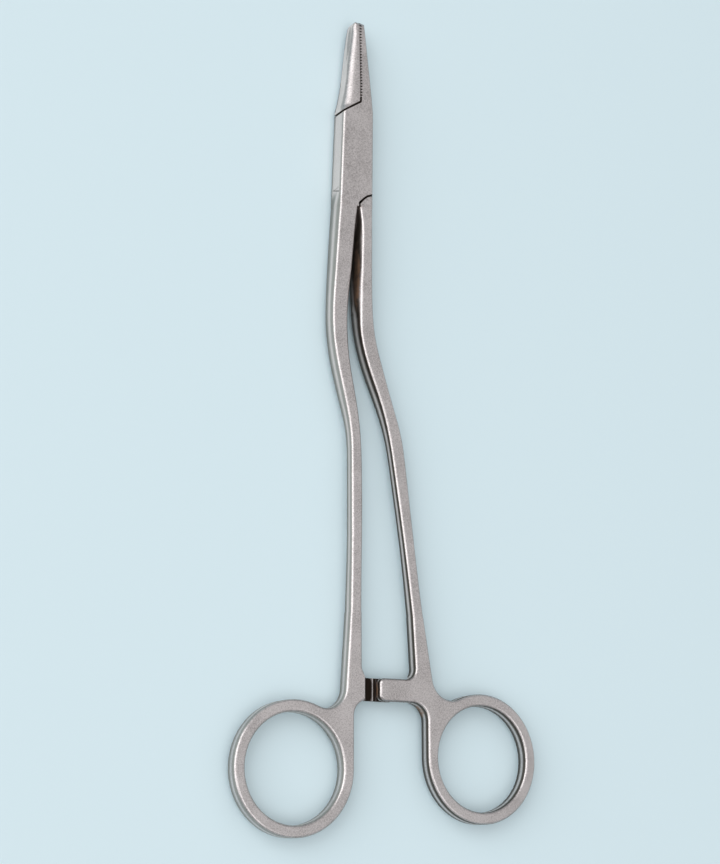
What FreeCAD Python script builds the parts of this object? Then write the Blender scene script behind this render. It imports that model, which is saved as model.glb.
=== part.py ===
import FreeCAD, Part
import math
import os
import Sketcher
from FreeCAD import Vector

# Box-lock needle holder, lying flat and closed. Lengths in millimetres.
# +Z is the pivot axis, +Y runs to the jaw tips, the handles run to -Y.
# The origin is on the pivot axis at the underside of the box.

SIZES = {
    "box_thickness": 5.7,
    "box_front": 11.5,
    "box_rear": 14.0,
    "box_front_left": 4.45,
    "box_front_right": 3.95,
    "box_rear_left": 5.45,
    "box_rear_right": 3.72,
    "edge_bevel": 0.6,
    "join_step": 0.04,
    "tenon_thickness": 2.8,
    "tenon_side_play": 0.04,
    "tenon_corner_radius": 10.9,
    "tenon_corner_play": 0.1,
    "pin_radius": 1.5,
    "pin_play": 0.03,
    "shoulder_gap_wide": 0.45,
    "shoulder_gap_narrow": 0.12,
    "joint_line": 0.1,
    "shoulder_out": 5.2,
    "shoulder_upper_flank": 10.0,
    "shoulder_upper_centre": 13.6,
    "shoulder_lower_flank": 10.1,
    "shoulder_lower_middle": 11.5,
    "shoulder_middle_at": 1.33,
    "shoulder_lower_centre": 13.0,
    "inner_edge_box": -0.45,
    "inner_edge_tenon": 0.08,
    "jaw_tip": 36.05,
    "jaw_tip_centre": 0.4,
    "jaw_tip_plan_radius": 1.5,
    "jaw_tip_side_radius": 2.05,
    "jaw_gap_base": 0.24,
    "jaw_gap_tip": 0.05,
    "serration_pitch": 0.8,
    "serration_depth": 0.27,
    "serration_width": 0.5,
    "serration_count": 26,
    "serration_first": 14.6,
    "arm_start": 113.0,
    "handle_thickness": 4.0,
    "bar_top": 127.9,
    "bar_bottom": 133.1,
    "bar_tip_radius": 1.3,
    "bar_step": 0.45,
    "bar_crest_gap": 0.1,
    "ratchet_pitch": 1.0,
    "ratchet_depth": 0.55,
    "ratchet_count": 8,
    "ratchet_first": 0.35,
    "bar_root_upper": 2.6,
    "ring_inner_radius": 12.4,
    "ring_band": 2.7,
    "left_ring_out": 15.98,
    "left_ring_down": 148.8,
    "left_arm_outer": 2.8,
    "left_arm_inner": 1.18,
    "left_bar_tip": 11.0,
    "left_bar_root": 3.6,
    "left_ring_root": 5.0,
    "right_ring_out": 34.1,
    "right_ring_down": 145.5,
    "right_arm_outer": 20.4,
    "right_arm_inner": 15.85,
    "right_bar_tip": 5.9,
    "right_bar_root": 4.2,
    "right_ring_root": 5.3,
}

# Jaw sections: distance in front of the pivot, centre, width, thickness.
JAW = {
    "jaw_root": (15.0, 0.0, 7.25, 5.65),
    "jaw_waist": (24.0, 0.2, 5.45, 4.85),
    "jaw_end": (36.5, 0.42, 2.75, 3.95),
}

# Shank sections: distance behind the pivot, thickness, then centre and
# width of the left (box) shank and of the right (tenon) shank.
SHANK = {
    "shank_a": (14.0, 5.62, -2.94, 4.94, 1.9, 3.56),
    "shank_b": (22.0, 5.5, -3.7, 4.6, 1.88, 3.65),
    "shank_c": (30.0, 5.3, -4.27, 4.45, 1.8, 3.85),
    "shank_d": (38.0, 4.85, -4.9, 4.15, 1.92, 4.05),
    "shank_e": (46.0, 4.6, -4.93, 3.95, 2.72, 4.05),
    "shank_f": (54.0, 4.55, -3.92, 3.5, 4.9, 4.0),
    "shank_g": (62.0, 4.25, -2.08, 3.15, 7.85, 3.4),
    "shank_h": (70.0, 3.5, -0.45, 2.75, 10.52, 3.55),
    "shank_i": (79.0, 3.35, -0.03, 2.85, 12.05, 3.35),
    "shank_j": (96.0, 3.4, 0.0, 2.8, 14.37, 2.85),
    "shank_k": (113.0, 3.92, -0.36, 2.85, 16.45, 2.9),
}

doc = FreeCAD.newDocument("NeedleHolder")
sheet = doc.addObject("Spreadsheet::Sheet", "Sizes")


def write_cell(row, alias, number):
    sheet.set("A%d" % row, alias)
    sheet.set("B%d" % row, "%g" % number)
    sheet.setAlias("B%d" % row, alias)
    return row + 1


row = 1
for alias, number in SIZES.items():
    row = write_cell(row, alias, number)
for name, numbers in JAW.items():
    for field, number in zip(("at", "centre", "width", "thick"), numbers):
        row = write_cell(row, name + "_" + field, number)
for name, numbers in SHANK.items():
    fields = ("at", "thick", "left_centre", "left_width", "right_centre", "right_width")
    for field, number in zip(fields, numbers):
        row = write_cell(row, name + "_" + field, number)
doc.recompute()


def size(alias):
    return float(sheet.get(alias))


def cell(alias):
    return sheet.Name + "." + alias


def origin_plane(body, role):
    return [f for f in body.Origin.OriginFeatures if f.Role == role][0]


def new_sketch(body, name, role="XY_Plane", lift=None):
    sketch = body.newObject("Sketcher::SketchObject", name)
    sketch.AttachmentSupport = [(origin_plane(body, role), "")]
    sketch.MapMode = "FlatFace"
    if lift:
        sketch.setExpression("AttachmentOffset.Base.z", lift)
    return sketch


def closed_polygon(sketch, points):
    corners = [Vector(x, y, 0) for x, y in points]
    for i, corner in enumerate(corners):
        sketch.addGeometry(Part.LineSegment(corner, corners[(i + 1) % len(corners)]), False)


# A bevelled rectangle across the instrument, its corners tied to the sheet.
def section(body, name, lift, left, right, thick):
    sketch = new_sketch(body, name, "XZ_Plane", lift)
    bevel = cell("edge_bevel")
    rise, inset = thick[1] + " / 2", size("edge_bevel")
    x0, x1, z1 = left[0], right[0], thick[0] / 2
    corners = []
    for x, across, z, up, along, turn in (
            (x0, left[1], -z1, "-" + rise, 1, 0), (x1, right[1], -z1, "-" + rise, -1, 1),
            (x1, right[1], z1, rise, -1, 0), (x0, left[1], z1, rise, 1, 1)):
        sign = "+" if along > 0 else "-"
        lower = z < 0
        flat = (x + along * inset, "%s %s %s" % (across, sign, bevel), z, up)
        side = (x, across, z + (inset if lower else -inset),
                "%s %s %s" % (up, "+" if lower else "-", bevel))
        corners += [flat, side] if turn else [side, flat]
    count = len(corners)
    for i, (x, across, z, up) in enumerate(corners):
        following = corners[(i + 1) % count]
        sketch.addGeometry(
            Part.LineSegment(Vector(x, z, 0), Vector(following[0], following[2], 0)), False)
    for i, (x, across, z, up) in enumerate(corners):
        sketch.addConstraint(Sketcher.Constraint("Coincident", i, 2, (i + 1) % count, 1))
        for kind, number, expression in (("DistanceX", x, across), ("DistanceY", z, up)):
            index = sketch.addConstraint(Sketcher.Constraint(kind, -1, 1, i, 1, number))
            sketch.setExpression("Constraints[%d]" % index, expression)
    return sketch


def table_section(body, name, sign, prefix, station):
    centre, width = station + "_" + prefix + "centre", station + "_" + prefix + "width"
    reach = ("" if sign > 0 else "-") + cell(station + "_at")
    return section(
        body, name, reach,
        (size(centre) - size(width) / 2, "%s - %s / 2" % (cell(centre), cell(width))),
        (size(centre) + size(width) / 2, "%s + %s / 2" % (cell(centre), cell(width))),
        (size(station + "_thick"), cell(station + "_thick")))


def loft(body, name, start, sections):
    feature = body.newObject("PartDesign::AdditiveLoft", name)
    feature.Profile = start
    feature.Sections = sections
    feature.Ruled = False
    doc.recompute()
    return feature


def symmetric(feature, sketch, expression):
    feature.Profile = sketch
    feature.SideType = "Symmetric"
    feature.setExpression("Length", expression)
    doc.recompute()
    return feature


def pad(body, name, sketch, expression):
    return symmetric(body.newObject("PartDesign::Pad", name), sketch, expression)


def pocket(body, name, sketch, expression):
    before = body.Tip.Shape.Volume
    feature = symmetric(body.newObject("PartDesign::Pocket", name), sketch, expression)
    if feature.Shape.Volume > before - 0.001:
        raise RuntimeError(name + " removes nothing")
    return feature


# A pocket from a level outwards: up from a positive level, down from a negative one.
def face_pocket(body, name, edges, level, up):
    sketch = new_sketch(body, name + "_outline", "XY_Plane", level)
    outline(sketch, edges)
    before = body.Tip.Shape.Volume
    feature = body.newObject("PartDesign::Pocket", name)
    feature.Profile = sketch
    feature.Reversed = up
    feature.setExpression("Length", cell("box_thickness"))
    doc.recompute()
    if feature.Shape.Volume > before - 0.001:
        raise RuntimeError(name + " removes nothing")
    return feature


def bevel_edges(body, name, wanted, width):
    base = body.Tip
    names = ["Edge%d" % (i + 1) for i, edge in enumerate(base.Shape.Edges) if wanted(edge)]
    feature = body.newObject("PartDesign::Chamfer", name)
    feature.Base = (base, names)
    feature.setExpression("Size", width)
    doc.recompute()
    return feature


FAR = 4 * size("box_thickness")
TOP = size("box_thickness") / 2


# The head before it is parted: box and jaws ground together, so their faces are flush.
def add_head(body):
    front, rear = size("box_front"), -size("box_rear")
    sketch = new_sketch(body, "box_plan")
    closed_polygon(sketch, [
        (-size("box_rear_left"), rear), (size("box_rear_right"), rear),
        (size("box_front_right"), front), (-size("box_front_left"), front)])
    pad(body, "box_block", sketch, cell("box_thickness"))
    bevel_edges(body, "box_corners",
                lambda e: abs(abs(e.CenterOfMass.z) - TOP) < 1e-6 and e.BoundBox.YLength > 1,
                cell("edge_bevel"))
    block = body.Tip
    end = ["Face%d" % (i + 1) for i, face in enumerate(block.Shape.Faces)
           if abs(face.CenterOfMass.y - front) < 1e-6]
    stations = [table_section(body, name + "_section", -1, "", name) for name in JAW]
    loft(body, "jaws", (block, end), stations)
    centre = size("jaw_tip_centre")
    for name, role, radius, middle in (
            ("tip_plan", "XY_Plane", size("jaw_tip_plan_radius"), centre),
            ("tip_side", "YZ_Plane", size("jaw_tip_side_radius"), 0.0)):
        sketch = new_sketch(body, name + "_outline", role)
        base, end = size("jaw_tip") - radius, size("jaw_tip") + radius

        def point(across, along):
            return Vector(across, along, 0) if role == "XY_Plane" else Vector(along, across, 0)
        near, far = point(middle - radius, base), point(middle + radius, base)
        edges = [Part.Arc(near, point(middle, size("jaw_tip")), far)]
        outside = [far, point(middle + FAR, base), point(middle + FAR, end),
                   point(middle - FAR, end), point(middle - FAR, base), near]
        for a, b in zip(outside, outside[1:]):
            edges.append(Part.LineSegment(a, b))
        for edge in edges:
            sketch.addGeometry(edge, False)
        pocket(body, name, sketch, "4 * " + cell("box_thickness"))


# Facing points of the two jaws, at the box and at the tip.
def jaw_face(side):
    base, tip = size("box_front"), size("jaw_tip")
    start = size("joint_line")
    return ((start + side * size("jaw_gap_base") / 2, base),
            (size("jaw_tip_centre") + side * size("jaw_gap_tip") / 2, tip))


def line(start, end):
    return Part.LineSegment(Vector(*start, 0), Vector(*end, 0))


def arc(start, middle, end):
    return Part.Arc(Vector(*start, 0), Vector(*middle, 0), Vector(*end, 0))


def chain(points):
    return [line(a, b) for a, b in zip(points, points[1:])]


# A quarter turn about the pivot, from the joint line out to the X axis.
def quarter_round(radius, across, sign_y):
    start = (across, sign_y * math.sqrt(radius ** 2 - across ** 2))
    turn = 1 if sign_y > 0 else -1
    middle = (turn * radius * math.sqrt(0.5), sign_y * radius * math.sqrt(0.5))
    return arc(start, middle, (turn * radius, 0))


# Upper shoulder: a straight line from the left flank to the joint line.
def upper_shoulder(side):
    flank = size("shoulder_upper_flank") + side * size("shoulder_gap_wide") / 2
    centre = size("shoulder_upper_centre") + side * size("shoulder_gap_narrow") / 2
    return (-size("shoulder_out"), flank), (size("joint_line"), centre)


# Lower shoulder: an arc from the right flank down to the crotch of the shanks.
def lower_shoulder(side):
    wide, narrow = size("shoulder_gap_wide") / 2, size("shoulder_gap_narrow") / 2
    flank = -size("shoulder_lower_flank") + side * wide
    centre = -size("shoulder_lower_centre") + side * narrow
    middle = -size("shoulder_lower_middle") + side * (wide + narrow) / 2
    return (size("shoulder_out"), flank), (size("shoulder_middle_at"), middle), centre


def outline(sketch, edges):
    for edge in edges:
        sketch.addGeometry(edge, False)


def cut(body, name, edges, height):
    sketch = new_sketch(body, name + "_outline")
    outline(sketch, edges)
    return pocket(body, name, sketch, height)


# The box half keeps the walls, the right jaw and the root of the left shank.
def part_box_half(body):
    through = "4 * " + cell("box_thickness")
    (flank_x, flank_y), (centre_x, centre_y) = upper_shoulder(-1)
    base, tip = jaw_face(1)
    cut(body, "jaw_parting", chain([
        (-FAR, flank_y), (flank_x, flank_y), (centre_x, centre_y), (base[0], centre_y), tip,
        (tip[0], 2 * tip[1]), (-FAR, 2 * tip[1]), (-FAR, flank_y)]), through)
    flank, middle, centre_y = lower_shoulder(1)
    inner = (size("inner_edge_box"), centre_y)
    low = -size("box_rear") - 1
    cut(body, "root_parting", [arc(inner, middle, flank)] + chain([
        flank, (FAR, flank[1]), (FAR, low), (inner[0], low), inner]), through)
    radius = size("tenon_corner_radius") + size("tenon_corner_play")
    top = math.sqrt(radius ** 2 - base[0] ** 2)
    bottom = -math.sqrt(radius ** 2 - inner[0] ** 2)
    cut(body, "tenon_slot", [
        quarter_round(radius, base[0], 1), quarter_round(radius, inner[0], -1)
        ] + chain([(radius, 0), (FAR, 0), (FAR, low), (inner[0], low), (inner[0], bottom)]
        ) + chain([(-radius, 0), (-FAR, 0), (-FAR, 2 * tip[1]), (tip[0], 2 * tip[1]), tip,
                   base, (base[0], top)]),
        "%s + 2 * %s" % (cell("tenon_thickness"), cell("tenon_side_play")))
    bore(body, "rivet_hole", cell("pin_radius"), size("pin_radius"))


# The tenon half keeps the tenon, the left jaw and the root of the right shank.
def part_tenon_half(body):
    through = "4 * " + cell("box_thickness")
    radius = size("tenon_corner_radius")
    base, tip = jaw_face(-1)
    top = math.sqrt(radius ** 2 - base[0] ** 2)
    cut(body, "jaw_parting", [quarter_round(radius, base[0], 1)] + chain([
        (radius, 0), (FAR, 0), (FAR, 2 * tip[1]), (tip[0], 2 * tip[1]), tip, base,
        (base[0], top)]), through)
    inner = size("inner_edge_tenon")
    bottom = -math.sqrt(radius ** 2 - inner ** 2)
    low = -size("box_rear") - 1
    cut(body, "root_parting", [quarter_round(radius, inner, -1)] + chain([
        (-radius, 0), (-FAR, 0), (-FAR, low), (inner, low), (inner, bottom)]), through)
    left, right = upper_shoulder(1)
    flank, middle, centre_y = lower_shoulder(-1)
    between = [arc((inner, centre_y), middle, flank)] + chain([
        flank, (FAR, flank[1]), (FAR, right[1]), right, left, (-FAR, left[1]),
        (-FAR, centre_y), (inner, centre_y)])
    for name, up in (("front_cheek", True), ("back_cheek", False)):
        level = ("" if up else "-") + cell("tenon_thickness") + " / 2"
        face_pocket(body, name, between, level, up)
    bore(body, "pivot_bore", cell("pin_radius") + " + " + cell("pin_play"),
         size("pin_radius") + size("pin_play"))


def bore(body, name, expression, radius):
    sketch = new_sketch(body, name + "_circle")
    circle(sketch, expression, radius)
    pocket(body, name, sketch, "2 * " + cell("box_thickness"))


def circle(sketch, expression, radius, centre=(0, 0)):
    ring = Part.Circle(Vector(*centre, 0), Vector(0, 0, 1), radius)
    sketch.addGeometry(ring, False)
    sketch.setExpression(
        "Constraints[%d]" % sketch.addConstraint(Sketcher.Constraint("Radius", 0, radius)),
        expression)


# Transverse grooves across the working face of a jaw.
def add_serrations(body, side):
    base, tip = jaw_face(side)
    lean = math.degrees(math.atan2(tip[0] - base[0], tip[1] - base[1]))
    first = size("serration_first")
    share = (first - base[1]) / (tip[1] - base[1])
    sketch = new_sketch(body, "serration")
    sketch.AttachmentOffset = FreeCAD.Placement(
        Vector(base[0] + share * (tip[0] - base[0]), first, 0),
        FreeCAD.Rotation(Vector(0, 0, 1), -lean))
    depth, half = side * size("serration_depth"), size("serration_width") / 2
    closed_polygon(sketch, [(-depth, -2 * half), (depth, 0), (-depth, 2 * half)])
    pocket(body, "serration_cut", sketch, "4 * " + cell("box_thickness"))
    pattern(body, "serrations", body.Tip, (sketch, ["V_Axis"]),
            cell("serration_pitch"), cell("serration_count"))


def pattern(body, name, feature, direction, pitch, count):
    before = body.Tip.Shape.Volume
    row_of_cuts = body.newObject("PartDesign::LinearPattern", name)
    row_of_cuts.Originals = [feature]
    row_of_cuts.Direction = direction
    row_of_cuts.setExpression("Occurrences", count)
    row_of_cuts.setExpression("Length", "%s * (%s - 1)" % (pitch, count))
    body.Tip = row_of_cuts
    doc.recompute()
    if row_of_cuts.Shape.Volume > before - 0.001:
        raise RuntimeError(name + " removes nothing")


# Replaces the corner between two straight runs by a tangent arc.
def rounded(before, corner, after, radius):
    here = Vector(*corner, 0)
    back = (Vector(*before, 0) - here).normalize()
    on = (Vector(*after, 0) - here).normalize()
    half = back.getAngle(on) / 2
    centre = here + (back + on).normalize() * (radius / math.sin(half))
    reach = radius / math.tan(half)
    inward = (here - centre).normalize() * radius
    return here + back * reach, centre + inward, here + on * reach


# Plan of a handle: arm, ratchet bar, neck and finger ring as one closed outline.
# Distances across are taken outwards, from the joint line to the ring's side.
def handle_outline(side, prefix, station):
    out = -1 if prefix == "left" else 1
    centre, width = size(station + "_" + prefix + "_centre"), size(station + "_" + prefix + "_width")
    start = -size("arm_start")
    half = width / 2 + size("join_step")
    inner_start, outer_start = out * centre - half, out * centre + half
    top, bottom = -size("bar_top"), -size("bar_bottom")
    inner, outer = out * size(prefix + "_arm_inner"), size(prefix + "_arm_outer")
    bar_tip = out * size(prefix + "_bar_tip")
    ring = Vector(size(prefix + "_ring_out"), -size(prefix + "_ring_down"), 0)
    radius = size("ring_inner_radius") + size("ring_band")
    neck = ring.x - radius
    corners = [(inner_start, start), (inner, top), (bar_tip, top), (bar_tip, bottom),
               (neck, bottom), (neck, ring.y)]
    radii = [size("bar_root_upper"), size("bar_tip_radius"), size("bar_tip_radius"),
             size(prefix + "_bar_root")]
    edges = []
    here = Vector(*corners[0], 0)
    for i, bend in enumerate(radii):
        a, b, c = rounded(corners[i], corners[i + 1], corners[i + 2], bend)
        edges += [("line", here, a), ("arc", a, b, c)]
        here = c
    edges.append(("line", here, Vector(neck, ring.y, 0)))
    root = size(prefix + "_ring_root")
    first = Vector(outer_start, start, 0)
    along = (Vector(outer, top, 0) - first).normalize()
    normal = Vector(-along.y, along.x, 0)
    offset = first + normal * root - ring
    along_ring = offset.dot(along)
    reach = -along_ring - math.sqrt(
        along_ring ** 2 - offset.dot(offset) + (radius + root) ** 2)
    hub = first + normal * root + along * reach
    on_arm = hub - normal * root
    on_ring = ring + (hub - ring).normalize() * radius
    middle = hub + ((on_arm - hub) + (on_ring - hub)).normalize() * root
    end_angle = math.atan2(on_ring.y - ring.y, on_ring.x - ring.x) + 2 * math.pi
    far = (math.pi + end_angle) / 2
    opposite = ring + Vector(math.cos(far), math.sin(far), 0) * radius
    edges.append(("arc", Vector(neck, ring.y, 0), opposite, on_ring))
    edges.append(("arc", on_ring, middle, on_arm))
    edges.append(("line", on_arm, first))
    edges.append(("line", first, Vector(inner_start, start, 0)))
    return [place_edge(edge, out) for edge in edges]


def place_edge(edge, out):
    points = [Vector(out * p.x, p.y, 0) for p in edge[1:]]
    return Part.LineSegment(*points) if edge[0] == "line" else Part.Arc(*points)


def add_handle(body, prefix, station):
    out = -1 if prefix == "left" else 1
    sketch = new_sketch(body, "handle_plan")
    outline(sketch, handle_outline(out, prefix, station))
    pad(body, "handle", sketch, cell("handle_thickness"))
    sketch = new_sketch(body, "ring_circle")
    circle(sketch, cell("ring_inner_radius"), size("ring_inner_radius"),
           (out * size(prefix + "_ring_out"), -size(prefix + "_ring_down")))
    pocket(body, "ring_opening", sketch, "2 * " + cell("handle_thickness"))
    half = size("handle_thickness") / 2
    start = -size("arm_start")
    bevel_edges(body, "handle_edges",
                lambda e: (abs(abs(e.CenterOfMass.z) - half) < 1e-6
                           and e.CenterOfMass.y < start - 0.01),
                "min(%s; 0.3 * %s)" % (cell("edge_bevel"), cell("ring_band")))


# The left bar keeps its lower half and the right bar its upper half; teeth face each other.
def add_ratchet(body, prefix):
    left = prefix == "left"
    step = size(prefix + "_arm_inner") + (1 if left else -1) * size("bar_step")
    tip = size(prefix + "_bar_tip") + (1 if left else -1)
    high, low = -size("bar_top") + 5, -size("bar_bottom") - 5
    level = ("-" if left else "") + cell("bar_crest_gap") + " / 2"
    face_pocket(body, "bar_half", chain([
        (step, high), (tip, high), (tip, low), (step, low), (step, high)]), level, left)
    sketch = new_sketch(body, "ratchet_tooth", "XZ_Plane",
                        "(%s + %s) / 2" % (cell("bar_top"), cell("bar_bottom")))
    pitch, depth = size("ratchet_pitch"), size("ratchet_depth")
    crest = (-1 if left else 1) * size("bar_crest_gap") / 2
    root = crest + (-1 if left else 1) * depth
    above = crest - (-1 if left else 1) * 0.02
    at = (step if left else size(prefix + "_bar_tip")) + size("ratchet_first")
    lean = 0.15 * pitch
    if left:
        points = [(at, above), (at + lean, root), (at + 0.9 * pitch, above)]
    else:
        points = [(at, above), (at + 0.9 * pitch - lean, root), (at + 0.9 * pitch, above)]
    closed_polygon(sketch, points)
    pocket(body, "tooth_cut", sketch, "%s - %s + 2" % (cell("bar_bottom"), cell("bar_top")))
    axis = [f for f in body.Origin.OriginFeatures if f.Role == "X_Axis"][0]
    pattern(body, "ratchet", body.Tip, (axis, [""]), cell("ratchet_pitch"), cell("ratchet_count"))


# A smooth edge through one point at each shank section.
def through(points):
    curve = Part.BSplineCurve()
    curve.interpolate([Vector(x, y, 0) for x, y in points])
    return curve


# The bent shank: flanks from the plan, front and back from the thickness, corners rounded.
def add_shank(body, prefix):
    at = [-size(name + "_at") for name in SHANK]
    centre = [size(name + "_" + prefix + "_centre") for name in SHANK]
    half = [size(name + "_" + prefix + "_width") / 2 for name in SHANK]
    rise = [size(name + "_thick") / 2 for name in SHANK]
    left = [(c - w, y) for c, w, y in zip(centre, half, at)]
    right = [(c + w, y) for c, w, y in zip(centre, half, at)]
    sketch = new_sketch(body, "shank_plan")
    outline(sketch, [through(left), line(left[-1], right[-1]), through(right),
                     line(right[0], left[0])])
    pad(body, "shank", sketch, cell("box_thickness") + " + 2")
    for name, sign in (("front", 1), ("back", -1)):
        contour = [(y, sign * z) for y, z in zip(at, rise)]
        first, last = contour[0], contour[-1]
        sketch = new_sketch(body, name + "_contour", "YZ_Plane")
        outline(sketch, [through(contour)] + chain([
            last, (last[0], sign * FAR), (first[0], sign * FAR), first]))
        pocket(body, name + "_face", sketch, "4 * " + cell("right_ring_out"))
    reach = size("shank_k_at") - size("shank_a_at")
    bevel_edges(body, "shank_edges", lambda e: e.BoundBox.YLength > 0.9 * reach,
                cell("edge_bevel"))


def new_body(label):
    body = doc.addObject("PartDesign::Body", label)
    body.Label = label
    return body


# Each half is one forging: head, bent shank and handle run into one another.
def add_half(label, prefix, part_head, side):
    head = new_body(prefix + "_head")
    add_head(head)
    part_head(head)
    add_serrations(head, side)
    shank = new_body(prefix + "_shank")
    add_shank(shank, prefix)
    handle = new_body(prefix + "_handle")
    add_handle(handle, prefix, "shank_k")
    add_ratchet(handle, prefix)
    forging = doc.addObject("Part::MultiFuse", label)
    forging.Label = label
    forging.Shapes = [head, shank, handle]
    doc.recompute()
    return forging


box_half = add_half("box_half", "left", part_box_half, 1)
tenon_half = add_half("tenon_half", "right", part_tenon_half, -1)

pivot_pin = new_body("pivot_pin")
pin_sketch = new_sketch(pivot_pin, "pin_circle")
circle(pin_sketch, cell("pin_radius"), size("pin_radius"))
pad(pivot_pin, "pin", pin_sketch, cell("box_thickness"))

pieces = [box_half, tenon_half, pivot_pin]
for piece in pieces:
    piece.setExpression("Placement.Base.z", cell("box_thickness") + " / 2")
doc.recompute()

for feature in doc.Objects:
    if "Invalid" in feature.State or "Error" in feature.State:
        raise RuntimeError(feature.Label + " failed: " + str(feature.State))
for piece in pieces:
    shape = piece.Shape
    if shape.isNull() or not shape.isValid() or len(shape.Solids) != 1:
        raise RuntimeError(piece.Label + " is not one valid solid")

os.makedirs("parts", exist_ok=True)
for piece in pieces:
    piece.Shape.exportStep("parts/" + piece.Label + ".step")
    print(piece.Label, round(piece.Shape.Volume, 1), "mm3", len(piece.Shape.Faces), "faces")
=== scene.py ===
from math import acos, cos, pi, radians, sin

import bpy
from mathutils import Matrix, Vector


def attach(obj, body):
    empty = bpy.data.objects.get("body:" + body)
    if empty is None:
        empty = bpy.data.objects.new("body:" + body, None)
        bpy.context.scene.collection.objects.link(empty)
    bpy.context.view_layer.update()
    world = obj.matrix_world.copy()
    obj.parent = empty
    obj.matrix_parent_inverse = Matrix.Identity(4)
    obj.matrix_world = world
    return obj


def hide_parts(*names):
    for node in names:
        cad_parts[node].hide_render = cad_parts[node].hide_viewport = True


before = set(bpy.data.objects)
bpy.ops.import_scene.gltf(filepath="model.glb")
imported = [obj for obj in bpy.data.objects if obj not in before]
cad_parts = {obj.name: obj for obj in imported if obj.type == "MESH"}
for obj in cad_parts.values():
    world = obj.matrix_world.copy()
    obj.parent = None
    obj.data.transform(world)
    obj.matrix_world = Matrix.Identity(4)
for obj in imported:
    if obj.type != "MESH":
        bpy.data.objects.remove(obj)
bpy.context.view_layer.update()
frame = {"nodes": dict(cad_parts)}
print("CAD frame loaded:", ", ".join(frame["nodes"]))

millimetres = 1000.0         # in a metre


# Shader maths: a wire is one socket, and sums of wires add Math nodes.
class Wire:
    def __init__(self, bench, socket):
        self.bench = bench
        self.socket = socket

    def maths(self, operation, *values):
        return self.bench.add("ShaderNodeMath", {"operation": operation}, dict(enumerate(values)))

    def __add__(self, other):
        return self.maths("ADD", self, other)

    def __radd__(self, other):
        return self.maths("ADD", other, self)

    def __sub__(self, other):
        return self.maths("SUBTRACT", self, other)

    def __rsub__(self, other):
        return self.maths("SUBTRACT", other, self)

    def __mul__(self, other):
        return self.maths("MULTIPLY", self, other)

    def __rmul__(self, other):
        return self.maths("MULTIPLY", other, self)

    def __truediv__(self, other):
        return self.maths("DIVIDE", self, other)

    def least(self, other):
        return self.maths("MINIMUM", self, other)

    def most(self, other):
        return self.maths("MAXIMUM", self, other)

    def absolute(self):
        return self.maths("ABSOLUTE", self)

    def cosine(self):
        return self.maths("COSINE", self)


# A bench builds the nodes of one material or world.
class Bench:
    def __init__(self, owner):
        self.owner = owner
        self.owner.use_nodes = True
        self.tree = self.owner.node_tree
        self.tree.nodes.clear()

    def node(self, kind, settings=None, inputs=None):
        made = self.tree.nodes.new(kind)
        settings = dict(settings or {})
        stops = settings.pop("stops", None)
        for key, value in settings.items():
            setattr(made, key, value)
        if stops:
            ramp = made.color_ramp.elements
            while len(ramp) < len(stops):
                ramp.new(0.5)
            for element, (place, grey) in zip(ramp, stops):
                element.position = place
                element.color = (grey, grey, grey, 1)
        for key, value in (inputs or {}).items():
            if isinstance(value, Wire):
                self.tree.links.new(value.socket, made.inputs[key])
            else:
                made.inputs[key].default_value = value
        return made

    def add(self, kind, settings=None, inputs=None, output=0):
        return Wire(self, self.node(kind, settings, inputs).outputs[output])

    def vectors(self, operation, inputs, output=0):
        return self.add("ShaderNodeVectorMath", {"operation": operation}, inputs, output)

    def axis(self, vector, name):
        return self.add("ShaderNodeSeparateXYZ", inputs={"Vector": vector}, output=name)

    def blend(self, amount, first, second):
        # Mix keeps colour, where Math would turn it grey.
        inputs = {0: amount, 6: first, 7: second}
        return self.add("ShaderNodeMix", {"data_type": "RGBA"}, inputs, output=2)

    def smoothStep(self, value, low, high):
        inputs = {"Value": value, "From Min": low, "From Max": high}
        return self.add("ShaderNodeMapRange", {"interpolation_type": "SMOOTHSTEP"}, inputs)

    def noise(self, place, scale, detail, roughness):
        inputs = {"Vector": place, "Scale": scale, "Detail": detail, "Roughness": roughness}
        return self.add("ShaderNodeTexNoise", inputs=inputs)

    def seam(self, place, start, end, width, seen=(1, 1, 0)):
        # 1 on a line, 0 at its width from it; seen leaves out the axis along which it cuts.
        run = Vector(end) - Vector(start)
        level = self.vectors("SUBTRACT", {0: place, 1: start})
        offset = self.vectors("MULTIPLY", {0: level, 1: seen})
        along = self.vectors("DOT_PRODUCT", {0: offset, 1: run}, "Value")
        share = (along / run.length_squared).most(0.0).least(1.0)
        foot = self.vectors("SCALE", {"Vector": run, "Scale": share})
        away = self.vectors("DISTANCE", {0: offset, 1: foot}, "Value")
        core = width * 0.55
        return 1 - self.smoothStep(away, core, width)

    def spot(self, place, centre, radii):
        # 1 at the centre, 0 at the rim of a stretched ball.
        offset = self.vectors("SUBTRACT", {0: place, 1: centre})
        scaled = self.vectors("DIVIDE", {0: offset, 1: radii})
        away = self.vectors("LENGTH", {0: scaled}, "Value")
        core, rim = 0.35, 1.0
        return 1 - self.smoothStep(away, core, rim)

    def spots(self, place, marks):
        return [self.spot(place, centre, radii) * strength for centre, radii, strength in marks]


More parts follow.
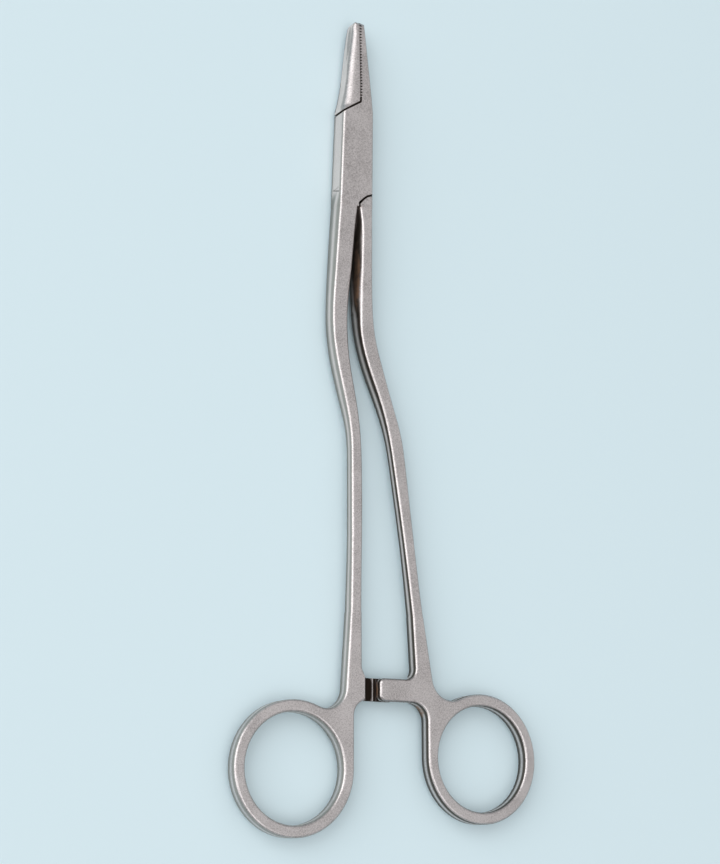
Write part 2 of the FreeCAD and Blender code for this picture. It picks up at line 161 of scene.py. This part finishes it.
# What the three finishes share. In every finish places and sizes are millimetres in the
# frame at rest, a noise is its scale, detail and roughness, a spot is its centre, radii and
# strength, and a pair of numbers says where a soft edge starts and ends.
satinFinish = {
    "steel": (0.690, 0.652, 0.650, 1),
    "shade": (0.330, 0.306, 0.302, 1),
    "shadeShare": 0.27,
    "grain": (2.9, 2.0, 0.60),
    "speckle": (6.38, 1.0, 0.50),
    "clouds": (0.16, 3.0, 0.55),
    "grainTone": 2.0,            # how much each noise changes the shade
    "speckleTone": 1.3,
    "cloudTone": 0.9,
    "grainBump": 0.12,
    "grainRelief": 0.7,          # how much each noise counts in the bumps
    "speckleRelief": 0.3,
    "bumpDistance": 0.00005,     # metres
    "roughness": 0.40,
    "roughnessSwing": 0.10,      # how much grain and clouds change it
    # A painted reflection: the side walls are coloured brighter and warmer, in place of the light
    # they mirror.
    "sideSheen": (0.890, 0.765, 0.720, 1),
    "sideTilt": (0.10, 0.40),    # the normal's height, from a side wall to a shoulder
    "sideSheenShare": 0.75,
    "ringsStart": (-136.0, -118.0),
    "ringSheenLoss": 0.45,        # how much of the painted side sheen the rings lose
    # A painted shade: a darker band on the shoulders just above the side walls.
    "shoulderShade": (0.300, 0.282, 0.245, 1),
    "shoulderShadeRises": (0.02, 0.24),
    "shoulderShadeFalls": (0.40, 0.62),
    "shanksStart": (-20.0, -10.0),
    "boxShoulderShade": 0.0,
    "shankShoulderShade": 0.0,
    "rust": (0.300, 0.175, 0.105, 1),
    "rustPatches": (0.9, 4.0, 0.65),
    "rustReach": 0.9,
    "rustEdge": (0.60, 1.10),
    "rustRoughness": 0.30,
    "rustDullness": 0.5,
    "rustSpots": [],             # brown stains
    # Near black: painted shade in gaps, grooves and where the shanks part, and the real dark seam
    # and scratch lines.
    "shadeAndSeams": (0.030, 0.022, 0.017, 1),
    "shadeAndSeamRoughness": 0.35,
    "shadeSpots": [((-0.1, -27.0, 2.8), (1.15, 17.0, 3.4), 0.8)],    # painted shade where the shanks part
    "valleyShadeSpots": [],           # painted shade that lies only below these heights
    "valleyHeights": (2.66, 2.80),
    "flankLines": [],            # start, end, width and strength
}

boxHalfLook = {
    **satinFinish,
    # How strong the painted shoulder shade is on the box and on the shanks.
    "boxShoulderShade": 0.75,
    "shankShoulderShade": 0.75,
    "rustSpots": [
        ((8.2, -132.6, 1.2), (3.6, 1.1, 1.6), 0.60),
        ((-0.6, -24.0, 2.6), (1.4, 14.0, 2.4), 0.50),
    ],
    # A seam across the left flank, and a short scratch beside it.
    "flankLines": [
        ((-5.4, -9.63, 1.48), (-5.4, -10.61, 4.31), 0.20, 0.80),
        ((-5.2, -4.18, 3.92), (-5.2, -5.75, 3.93), 0.16, 0.55),
    ],
    # The ratchet's grooves are painted black as shade, but for one light crest in the middle.
    "shadeSpots": satinFinish["shadeSpots"] + [
        ((3.6, -130.5, 2.3), (1.5, 12.0, 1.0), 1.6),
        ((6.5, -130.5, 2.3), (1.6, 12.0, 1.0), 1.6),
    ],
    "valleyShadeSpots": [((7.0, -130.5, 2.3), (6.0, 5.2, 1.0), 1.6)],
}

tenonHalfLook = {
    **satinFinish,
    # A near-black painted shade on the shoulders, strongest along the right shank's inner side.
    "shoulderShade": (0.080, 0.068, 0.054, 1),
    "boxShoulderShade": 0.40,
    "shankShoulderShade": 0.95,
    "rustSpots": [
        ((17.8, -134.8, 2.4), (2.4, 2.4, 1.6), 0.42),
        ((6.0, -130.5, 2.4), (0.9, 3.0, 1.6), 0.80),
        ((0.3, -31.0, 3.4), (1.3, 12.0, 1.6), 0.55),
    ],
}

pinLook = {
    **satinFinish,
    "steel": (0.680, 0.642, 0.640, 1),
    "shade": (0.340, 0.316, 0.312, 1),
    "roughness": 0.38,
}

# Painted shade darkens the two shoulder gaps of the box and the grooves between the jaws.
gapShade = {
    "upperGap": [(-4.6, 10.41, 0), (0.1, 13.6, 0), (0.22, 14.7, 0)],
    "lowerGap": [(0.0, -13.0, 0), (1.0, -11.81, 0), (2.0, -11.0, 0), (3.9, -10.22, 0)],
    "gapWidth": 0.34,
    "grooveRow": [(0.30, 14.6, 0), (0.58, 35.4, 0)],
    "rowWidth": 0.36,
    "groovePitch": 0.8,
    "grooveAt": 15.4,            # the middle of one groove
    "grooveEdge": (-0.1, 0.6),   # on a cosine wave that is 1 in the middle of a groove
    "rowStart": (14.8, 15.0),
}


def satinSteel(name, look):
    bench = Bench(bpy.data.materials.new(name))
    coordinates = bench.add("ShaderNodeTexCoord", output="Object")
    place = bench.vectors("SCALE", {"Vector": coordinates, "Scale": millimetres})
    along = bench.axis(place, "Y")
    normal = bench.add("ShaderNodeNewGeometry", output="Normal")
    tilt = bench.axis(normal, "Z").absolute()

    grain = bench.noise(place, *look["grain"])
    speckle = bench.noise(place, *look["speckle"])
    grainSwing = grain - 0.5
    cloudSwing = bench.noise(place, *look["clouds"]) - 0.5
    tone = grainSwing * look["grainTone"] + (speckle - 0.5) * look["speckleTone"]
    tone = tone + cloudSwing * look["cloudTone"]
    shading = (look["shadeShare"] - tone).most(0.0).least(1.0)
    colour = bench.blend(shading, look["steel"], look["shade"])

    # The side walls get a painted reflection, a brighter warm colour, and the shoulders above
    # them a painted shade band.
    side = 1 - bench.smoothStep(tilt, *look["sideTilt"])
    onRings = 1 - bench.smoothStep(along, *look["ringsStart"])
    sheen = look["sideSheenShare"] - onRings * look["ringSheenLoss"]
    colour = bench.blend(side * sheen, colour, look["sideSheen"])
    rises = bench.smoothStep(tilt, *look["shoulderShadeRises"])
    falls = bench.smoothStep(tilt, *look["shoulderShadeFalls"])
    onShanks = 1 - bench.smoothStep(along, *look["shanksStart"])
    share = look["boxShoulderShade"] + onShanks * (look["shankShoulderShade"] - look["boxShoulderShade"])
    colour = bench.blend(rises * (1 - falls) * share, colour, look["shoulderShade"])

    swing = look["roughnessSwing"]
    rough = look["roughness"] + grainSwing * swing + cloudSwing * swing
    metallic = 1.0
    stains = gathered(bench.spots(place, look["rustSpots"]))
    if stains is not None:
        patches = bench.noise(place, *look["rustPatches"])
        rust = bench.smoothStep(patches + stains * look["rustReach"], *look["rustEdge"])
        colour = bench.blend(rust, colour, look["rust"])
        rough = rough + rust * look["rustRoughness"]
        metallic = 1 - rust * look["rustDullness"]

    # Painted shade darkens gaps, grooves, the ratchet and where the shanks part; the flank lines
    # are a real seam and scratch.
    shadeAndSeams = gathered(shadeAndSeamMarks(bench, place, look)).least(1.0)
    colour = bench.blend(shadeAndSeams, colour, look["shadeAndSeams"])
    rough = rough + shadeAndSeams * look["shadeAndSeamRoughness"]

    relief = look["grainRelief"] * grain + look["speckleRelief"] * speckle
    bump = bench.add("ShaderNodeBump", inputs={
        "Strength": look["grainBump"], "Distance": look["bumpDistance"], "Height": relief})
    shader = bench.add("ShaderNodeBsdfPrincipled", inputs={
        "Base Color": colour, "Roughness": rough, "Metallic": metallic, "Normal": bump})
    bench.node("ShaderNodeOutputMaterial", inputs={"Surface": shader})
    return bench.owner


# The painted shade marks and the real seam and scratch lines, each a mask from 0 to 1.
def shadeAndSeamMarks(bench, place, look):
    marks = bench.spots(place, look["shadeSpots"])
    for mark in bench.spots(place, look["valleyShadeSpots"]):
        height = bench.axis(place, "Z")
        marks.append(mark * (1 - bench.smoothStep(height, *look["valleyHeights"])))
    for start, end, width, strength in look["flankLines"]:
        marks.append(bench.seam(place, start, end, width, (1, 1, 1)) * strength)
    for line in (gapShade["upperGap"], gapShade["lowerGap"]):
        for start, end in zip(line, line[1:]):
            marks.append(bench.seam(place, start, end, gapShade["gapWidth"]))
    along = bench.axis(place, "Y")
    wave = ((along - gapShade["grooveAt"]) * (2 * pi / gapShade["groovePitch"])).cosine()
    row = bench.seam(place, *gapShade["grooveRow"], gapShade["rowWidth"])
    row = row * bench.smoothStep(along, *gapShade["rowStart"])
    marks.append(row * bench.smoothStep(wave, *gapShade["grooveEdge"]))
    return marks


def gathered(marks):
    # The strongest mark at each place, or None for no marks.
    strongest = None
    for mark in marks:
        strongest = mark if strongest is None else strongest.most(mark)
    return strongest


def rise(value, start, full):
    # 0 up to the start, 1 from full on.
    return max(0.0, min(1.0, (value - start) / (full - start)))


# The front of the left jaw is softly domed. Lengths are millimetres, and a section is its
# distance from the pivot, with the centre, width and thickness of the closed jaws there.
jawDome = {
    "sections": [
        (10.0, -0.30, 8.75, 5.70),
        (11.5, -0.25, 8.40, 5.70),
        (15.0, 0.0, 7.25, 5.65),
        (24.0, 0.2, 5.45, 4.85),
        (36.5, 0.42, 2.75, 3.95),
    ],
    "from": 9.8,
    "full": 12.5,
    "tip": (32.5, 35.0),         # over the tip the dome gets flatter
    "tipLoss": 0.55,
    "power": 2.4,                # 2 is an ellipse, and more is squarer
    "cuts": 6,
    "middle": 2.85,
    "frontHeight": 4.5,
    "rightEdge": 0.6,
    "grooves": (0.3, 0.75),      # the middle and half the width of the grooved face
    "steep": 0.3,                # the normal's height on a wall is less than this
    "flankFacing": -0.6,         # and its way across on the left flank is less than this
}


def jawSection(along):
    sections = jawDome["sections"]
    for (here, *near), (there, *far) in zip(sections, sections[1:]):
        if along <= there:
            share = rise(along, here, there)
            return [a + (b - a) * share for a, b in zip(near, far)]
    return sections[-1][1:]


def isJawFront(face):
    centre = face.center * millimetres
    middle, halfWidth = jawDome["grooves"]
    inGrooves = abs(centre.x - middle) < halfWidth and abs(face.normal.z) < jawDome["steep"]
    front = face.normal.z > jawDome["steep"] and centre.z > jawDome["frontHeight"]
    flank = face.normal.x < jawDome["flankFacing"]
    onJaw = centre.y > jawDome["from"] and centre.x < jawDome["rightEdge"]
    return onJaw and (front or flank) and not inGrooves


def domeJaw(piece):
    bpy.ops.object.mode_set(mode="EDIT")
    bpy.ops.mesh.select_mode(type="FACE")
    bpy.ops.mesh.select_all(action="DESELECT")
    bpy.ops.object.mode_set(mode="OBJECT")
    for face in piece.data.polygons:
        if isJawFront(face):
            face.select = True
    bpy.ops.object.mode_set(mode="EDIT")
    bpy.ops.mesh.subdivide(number_cuts=jawDome["cuts"])
    bpy.ops.object.mode_set(mode="OBJECT")
    power, middle = jawDome["power"], jawDome["middle"]
    for vertex in piece.data.vertices:
        along = vertex.co.y * millimetres
        if along <= jawDome["from"]:
            continue
        centre, width, thick = jawSection(along)
        across = (vertex.co.x * millimetres - centre) / (width / 2)
        up = (vertex.co.z * millimetres - middle) / (thick / 2)
        circle = (abs(across) ** power + abs(up) ** power) ** (1 / power)
        if up <= 0 or across >= 0 or circle <= 1:
            continue
        share = rise(along, jawDome["from"], jawDome["full"])
        share *= 1 - jawDome["tipLoss"] * rise(along, *jawDome["tip"])
        pull = 1 + (1 / circle - 1) * share
        vertex.co.x = (centre + (vertex.co.x * millimetres - centre) * pull) / millimetres
        vertex.co.z = (middle + (vertex.co.z * millimetres - middle) * pull) / millimetres
    piece.data.update()


# Where the right shank leaves the box, its inner side is cut back towards the front, more
# and more up to the front face. Millimetres.
slotSide = {
    "from": -14.5,
    "full": -19.0,
    "fade": -38.0,
    "to": -47.0,
    "cut": 0.85,
    "middle": 2.85,
    "height": 2.1,               # from the middle to where the cut is deepest
    "shankAt": 1.9,              # the shank's middle line, before it bends away
    "bendRun": 8.0,
    "bendShift": 0.8,
    "margin": 0.4,
}


def relieveSlotSide(piece):
    for vertex in piece.data.vertices:
        along = vertex.co.y * millimetres
        lift = (vertex.co.z * millimetres - slotSide["middle"]) / slotSide["height"]
        if not slotSide["to"] < along < slotSide["from"] or lift < 0:
            continue
        bend = max(0.0, (slotSide["fade"] - along) / slotSide["bendRun"])
        shankMiddle = slotSide["shankAt"] + bend * slotSide["bendShift"]
        if vertex.co.x * millimetres > shankMiddle - slotSide["margin"]:
            continue
        start = rise(along, slotSide["from"], slotSide["full"])
        end = rise(along, slotSide["to"], slotSide["fade"])
        vertex.co.x += slotSide["cut"] * start * end * min(1.0, lift) / millimetres
    piece.data.update()


# Each forging is dressed as a merged copy of its solid, with soft shading over its bevelled
# edges. Lengths are metres here, and a tilt is the height of a face's normal.
dressing = {
    "mergeDistance": 0.000002,
    "softAngle": 56.0,           # edges flatter than this are shaded round
    "flatTilt": 0.992,           # a ground flat is more level than this
    "sideTilt": 0.3,             # a side wall is steeper than this
    "bevelTilts": (0.5, 0.9),
    "sameWall": 0.8,             # how alike the normals are on one wall
    "nearWall": 0.7,             # and on the wall of the shoulder above it
    "shoulderReach": 0.006,      # how far off that shoulder may be
    "sideLean": 22.5,            # how far the sides are shaded round, in degrees
    "jawStart": 0.0098,          # past this the left jaw's front is domed, not ground flat
    "middle": 0.00285,           # half the thickness of the box
}


def softNormals(piece, jawIsDomed):
    mesh = piece.data
    facesAt = [[] for _ in mesh.vertices]
    for face in mesh.polygons:
        for vertex in face.vertices:
            facesAt[vertex].append(face.index)
    normals = [face.normal.copy() for face in mesh.polygons]
    places = [vertex.co for vertex in mesh.vertices]
    limit = cos(radians(dressing["softAngle"]))
    domed = {
        vertex for vertex, place in enumerate(places)
        if jawIsDomed and place.y > dressing["jawStart"] and place.z > dressing["middle"]
    }
    leaning = leaningSides(facesAt, normals, places, domed)
    cornerNormals = []
    for face in mesh.polygons:
        own = normals[face.index]
        for vertex in face.vertices:
            if vertex in leaning:
                cornerNormals.append(leaning[vertex])
                continue
            total = Vector((0, 0, 0))
            flat = None
            for other in facesAt[vertex]:
                near = normals[other]
                if near.dot(own) < limit:
                    continue
                if abs(near.z) > dressing["flatTilt"] and vertex not in domed:
                    flat = near
                total += near * cornerAngle(mesh.polygons[other], vertex, places)
            cornerNormals.append(flat if flat else total.normalized())
    bpy.ops.object.shade_smooth()
    mesh.normals_split_custom_set(cornerNormals)


def leaningSides(facesAt, normals, places, domed):
    # A point inside a side wall leans by its height, so the wall is shaded evenly round.
    shoulders = []
    inside = {}
    low, high = dressing["bevelTilts"]
    for vertex, faces in enumerate(facesAt):
        sides = [normals[face] for face in faces if abs(normals[face].z) < dressing["sideTilt"]]
        if not sides or vertex in domed:
            continue
        wall = sum(sides, Vector((0, 0, 0))).normalized()
        isBevelled = any(low < abs(normals[face].z) < high for face in faces)
        isOneWall = all(side.dot(wall) > dressing["sameWall"] for side in sides)
        if isBevelled and places[vertex].z > dressing["middle"]:
            shoulders.append((places[vertex], wall))
        elif len(sides) == len(faces) and isOneWall:
            inside[vertex] = wall
    leaning = {}
    middle = dressing["middle"]
    for vertex, wall in inside.items():
        place = places[vertex]
        near = [
            (abs(top.x - place.x) + abs(top.y - place.y), top.z)
            for top, side in shoulders if side.dot(wall) > dressing["nearWall"]
        ]
        reach, top = min(near, default=(1, 1))    # a metre off if there is none
        if reach < dressing["shoulderReach"]:
            lift = max(-1.0, min(1.0, (place.z - middle) / (top - middle)))
            angle = radians(dressing["sideLean"]) * lift
            lean = Vector((wall.x * cos(angle), wall.y * cos(angle), sin(angle)))
            leaning[vertex] = lean.normalized()
    return leaning


def cornerAngle(face, vertex, places):
    ring = list(face.vertices)
    spot = ring.index(vertex)
    here = places[vertex]
    before = (places[ring[spot - 1]] - here).normalized()
    after = (places[ring[(spot + 1) % len(ring)]] - here).normalized()
    return acos(max(-1.0, min(1.0, before.dot(after))))


def dressForging(node, pieceName, look, body):
    bpy.ops.object.select_all(action="DESELECT")
    solid = frame["nodes"][node]
    solid.select_set(True)
    bpy.context.view_layer.objects.active = solid
    bpy.ops.object.duplicate()
    piece = bpy.context.object
    piece.name = pieceName
    piece.data.name = pieceName
    piece.parent = None
    bpy.ops.mesh.customdata_custom_splitnormals_clear()
    bpy.ops.object.mode_set(mode="EDIT")
    bpy.ops.mesh.select_all(action="SELECT")
    bpy.ops.mesh.remove_doubles(threshold=dressing["mergeDistance"])
    bpy.ops.object.mode_set(mode="OBJECT")
    hasDomedJaw = node == "tenon_half"
    if hasDomedJaw:
        domeJaw(piece)
        relieveSlotSide(piece)
    softNormals(piece, hasDomedJaw)
    piece.data.materials.clear()
    piece.data.materials.append(satinSteel(pieceName + "Finish", look))
    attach(piece, body)
    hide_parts(node)
    print("dressed", node, "with", len(piece.data.polygons), "faces")


dressForging("box_half", "boxHalfSteel", boxHalfLook, "box_half")
dressForging("tenon_half", "tenonHalfSteel", tenonHalfLook, "tenon_half")
dressForging("pivot_pin", "pivotPinSteel", pinLook, "box_half")


# A pale floor under it, soft light round it. Lengths are metres.
studio = {
    "middle": (0, -0.06, 0),
    "floorColour": (0.675, 0.814, 0.868, 1),
    "floorRoughness": 0.9,
    "floorSpecular": 0.1,
    "floorSize": 8.0,
    "floorDrop": 0.00025,
    "skyStops": [(0.0, 0.10), (0.16, 0.16), (0.42, 0.50), (0.8, 0.66)],    # height and grey
    "leftSoftbox": {"at": (-2.27, 0.54, 1.42), "size": (3.4, 2.9), "level": 1.85},
    "topSoftbox": {"at": (-0.20, -0.95, 2.20), "size": (1.4, 1.4), "level": 1.3},
}


def buildFloor():
    across, along, height = studio["middle"]
    bpy.ops.mesh.primitive_plane_add(
        size=studio["floorSize"],
        location=(across, along, height - studio["floorDrop"]),
    )
    floor = bpy.context.object
    floor.name = "floor"
    bench = Bench(bpy.data.materials.new("floorPaper"))
    shader = bench.add("ShaderNodeBsdfPrincipled", inputs={
        "Base Color": studio["floorColour"],
        "Roughness": studio["floorRoughness"],
        "Specular IOR Level": studio["floorSpecular"],
    })
    bench.node("ShaderNodeOutputMaterial", inputs={"Surface": shader})
    floor.data.materials.append(bench.owner)


def buildSky():
    world = bpy.data.worlds.new("studioSky")
    bpy.context.scene.world = world
    bench = Bench(world)
    direction = bench.add("ShaderNodeTexCoord", output="Generated")
    height = bench.axis(direction, "Z")
    stops = {"stops": studio["skyStops"]}
    shade = bench.add("ShaderNodeValToRGB", stops, {"Fac": height})
    light = bench.add("ShaderNodeBackground", inputs={"Color": shade, "Strength": 1.0})
    bench.node("ShaderNodeOutputWorld", inputs={"Surface": light})


def addSoftbox(name):
    # The level is the brightness of its face.
    settings = studio[name]
    width, height = settings["size"]
    bpy.ops.object.light_add(type="AREA", location=settings["at"])
    lamp = bpy.context.object
    lamp.name = name
    lamp.data.shape = "RECTANGLE"
    lamp.data.size = width
    lamp.data.size_y = height
    lamp.data.energy = settings["level"] * pi * width * height
    aim = Vector(studio["middle"]) - Vector(settings["at"])
    lamp.rotation_euler = aim.to_track_quat("-Z", "Y").to_euler()


buildFloor()
buildSky()
addSoftbox("leftSoftbox")
addSoftbox("topSoftbox")
print("studio ready")


# The camera looks down on the instrument from its left, as in the photograph.
cameraSetup = {
    "at": (-0.1987, -0.1672, 0.34535),
    "turn": (13.79, -30.31, 0.0),
    "lens": 71.6,
    "clip": (0.01, 50.0),
}
bpy.ops.object.camera_add(
    location=cameraSetup["at"],
    rotation=[radians(angle) for angle in cameraSetup["turn"]],
)
camera = bpy.context.object
camera.name = "photoCamera"
camera.data.lens = cameraSetup["lens"]
camera.data.clip_start, camera.data.clip_end = cameraSetup["clip"]
bpy.context.scene.camera = camera
bpy.context.scene.view_settings.view_transform = "Standard"
print("camera ready")
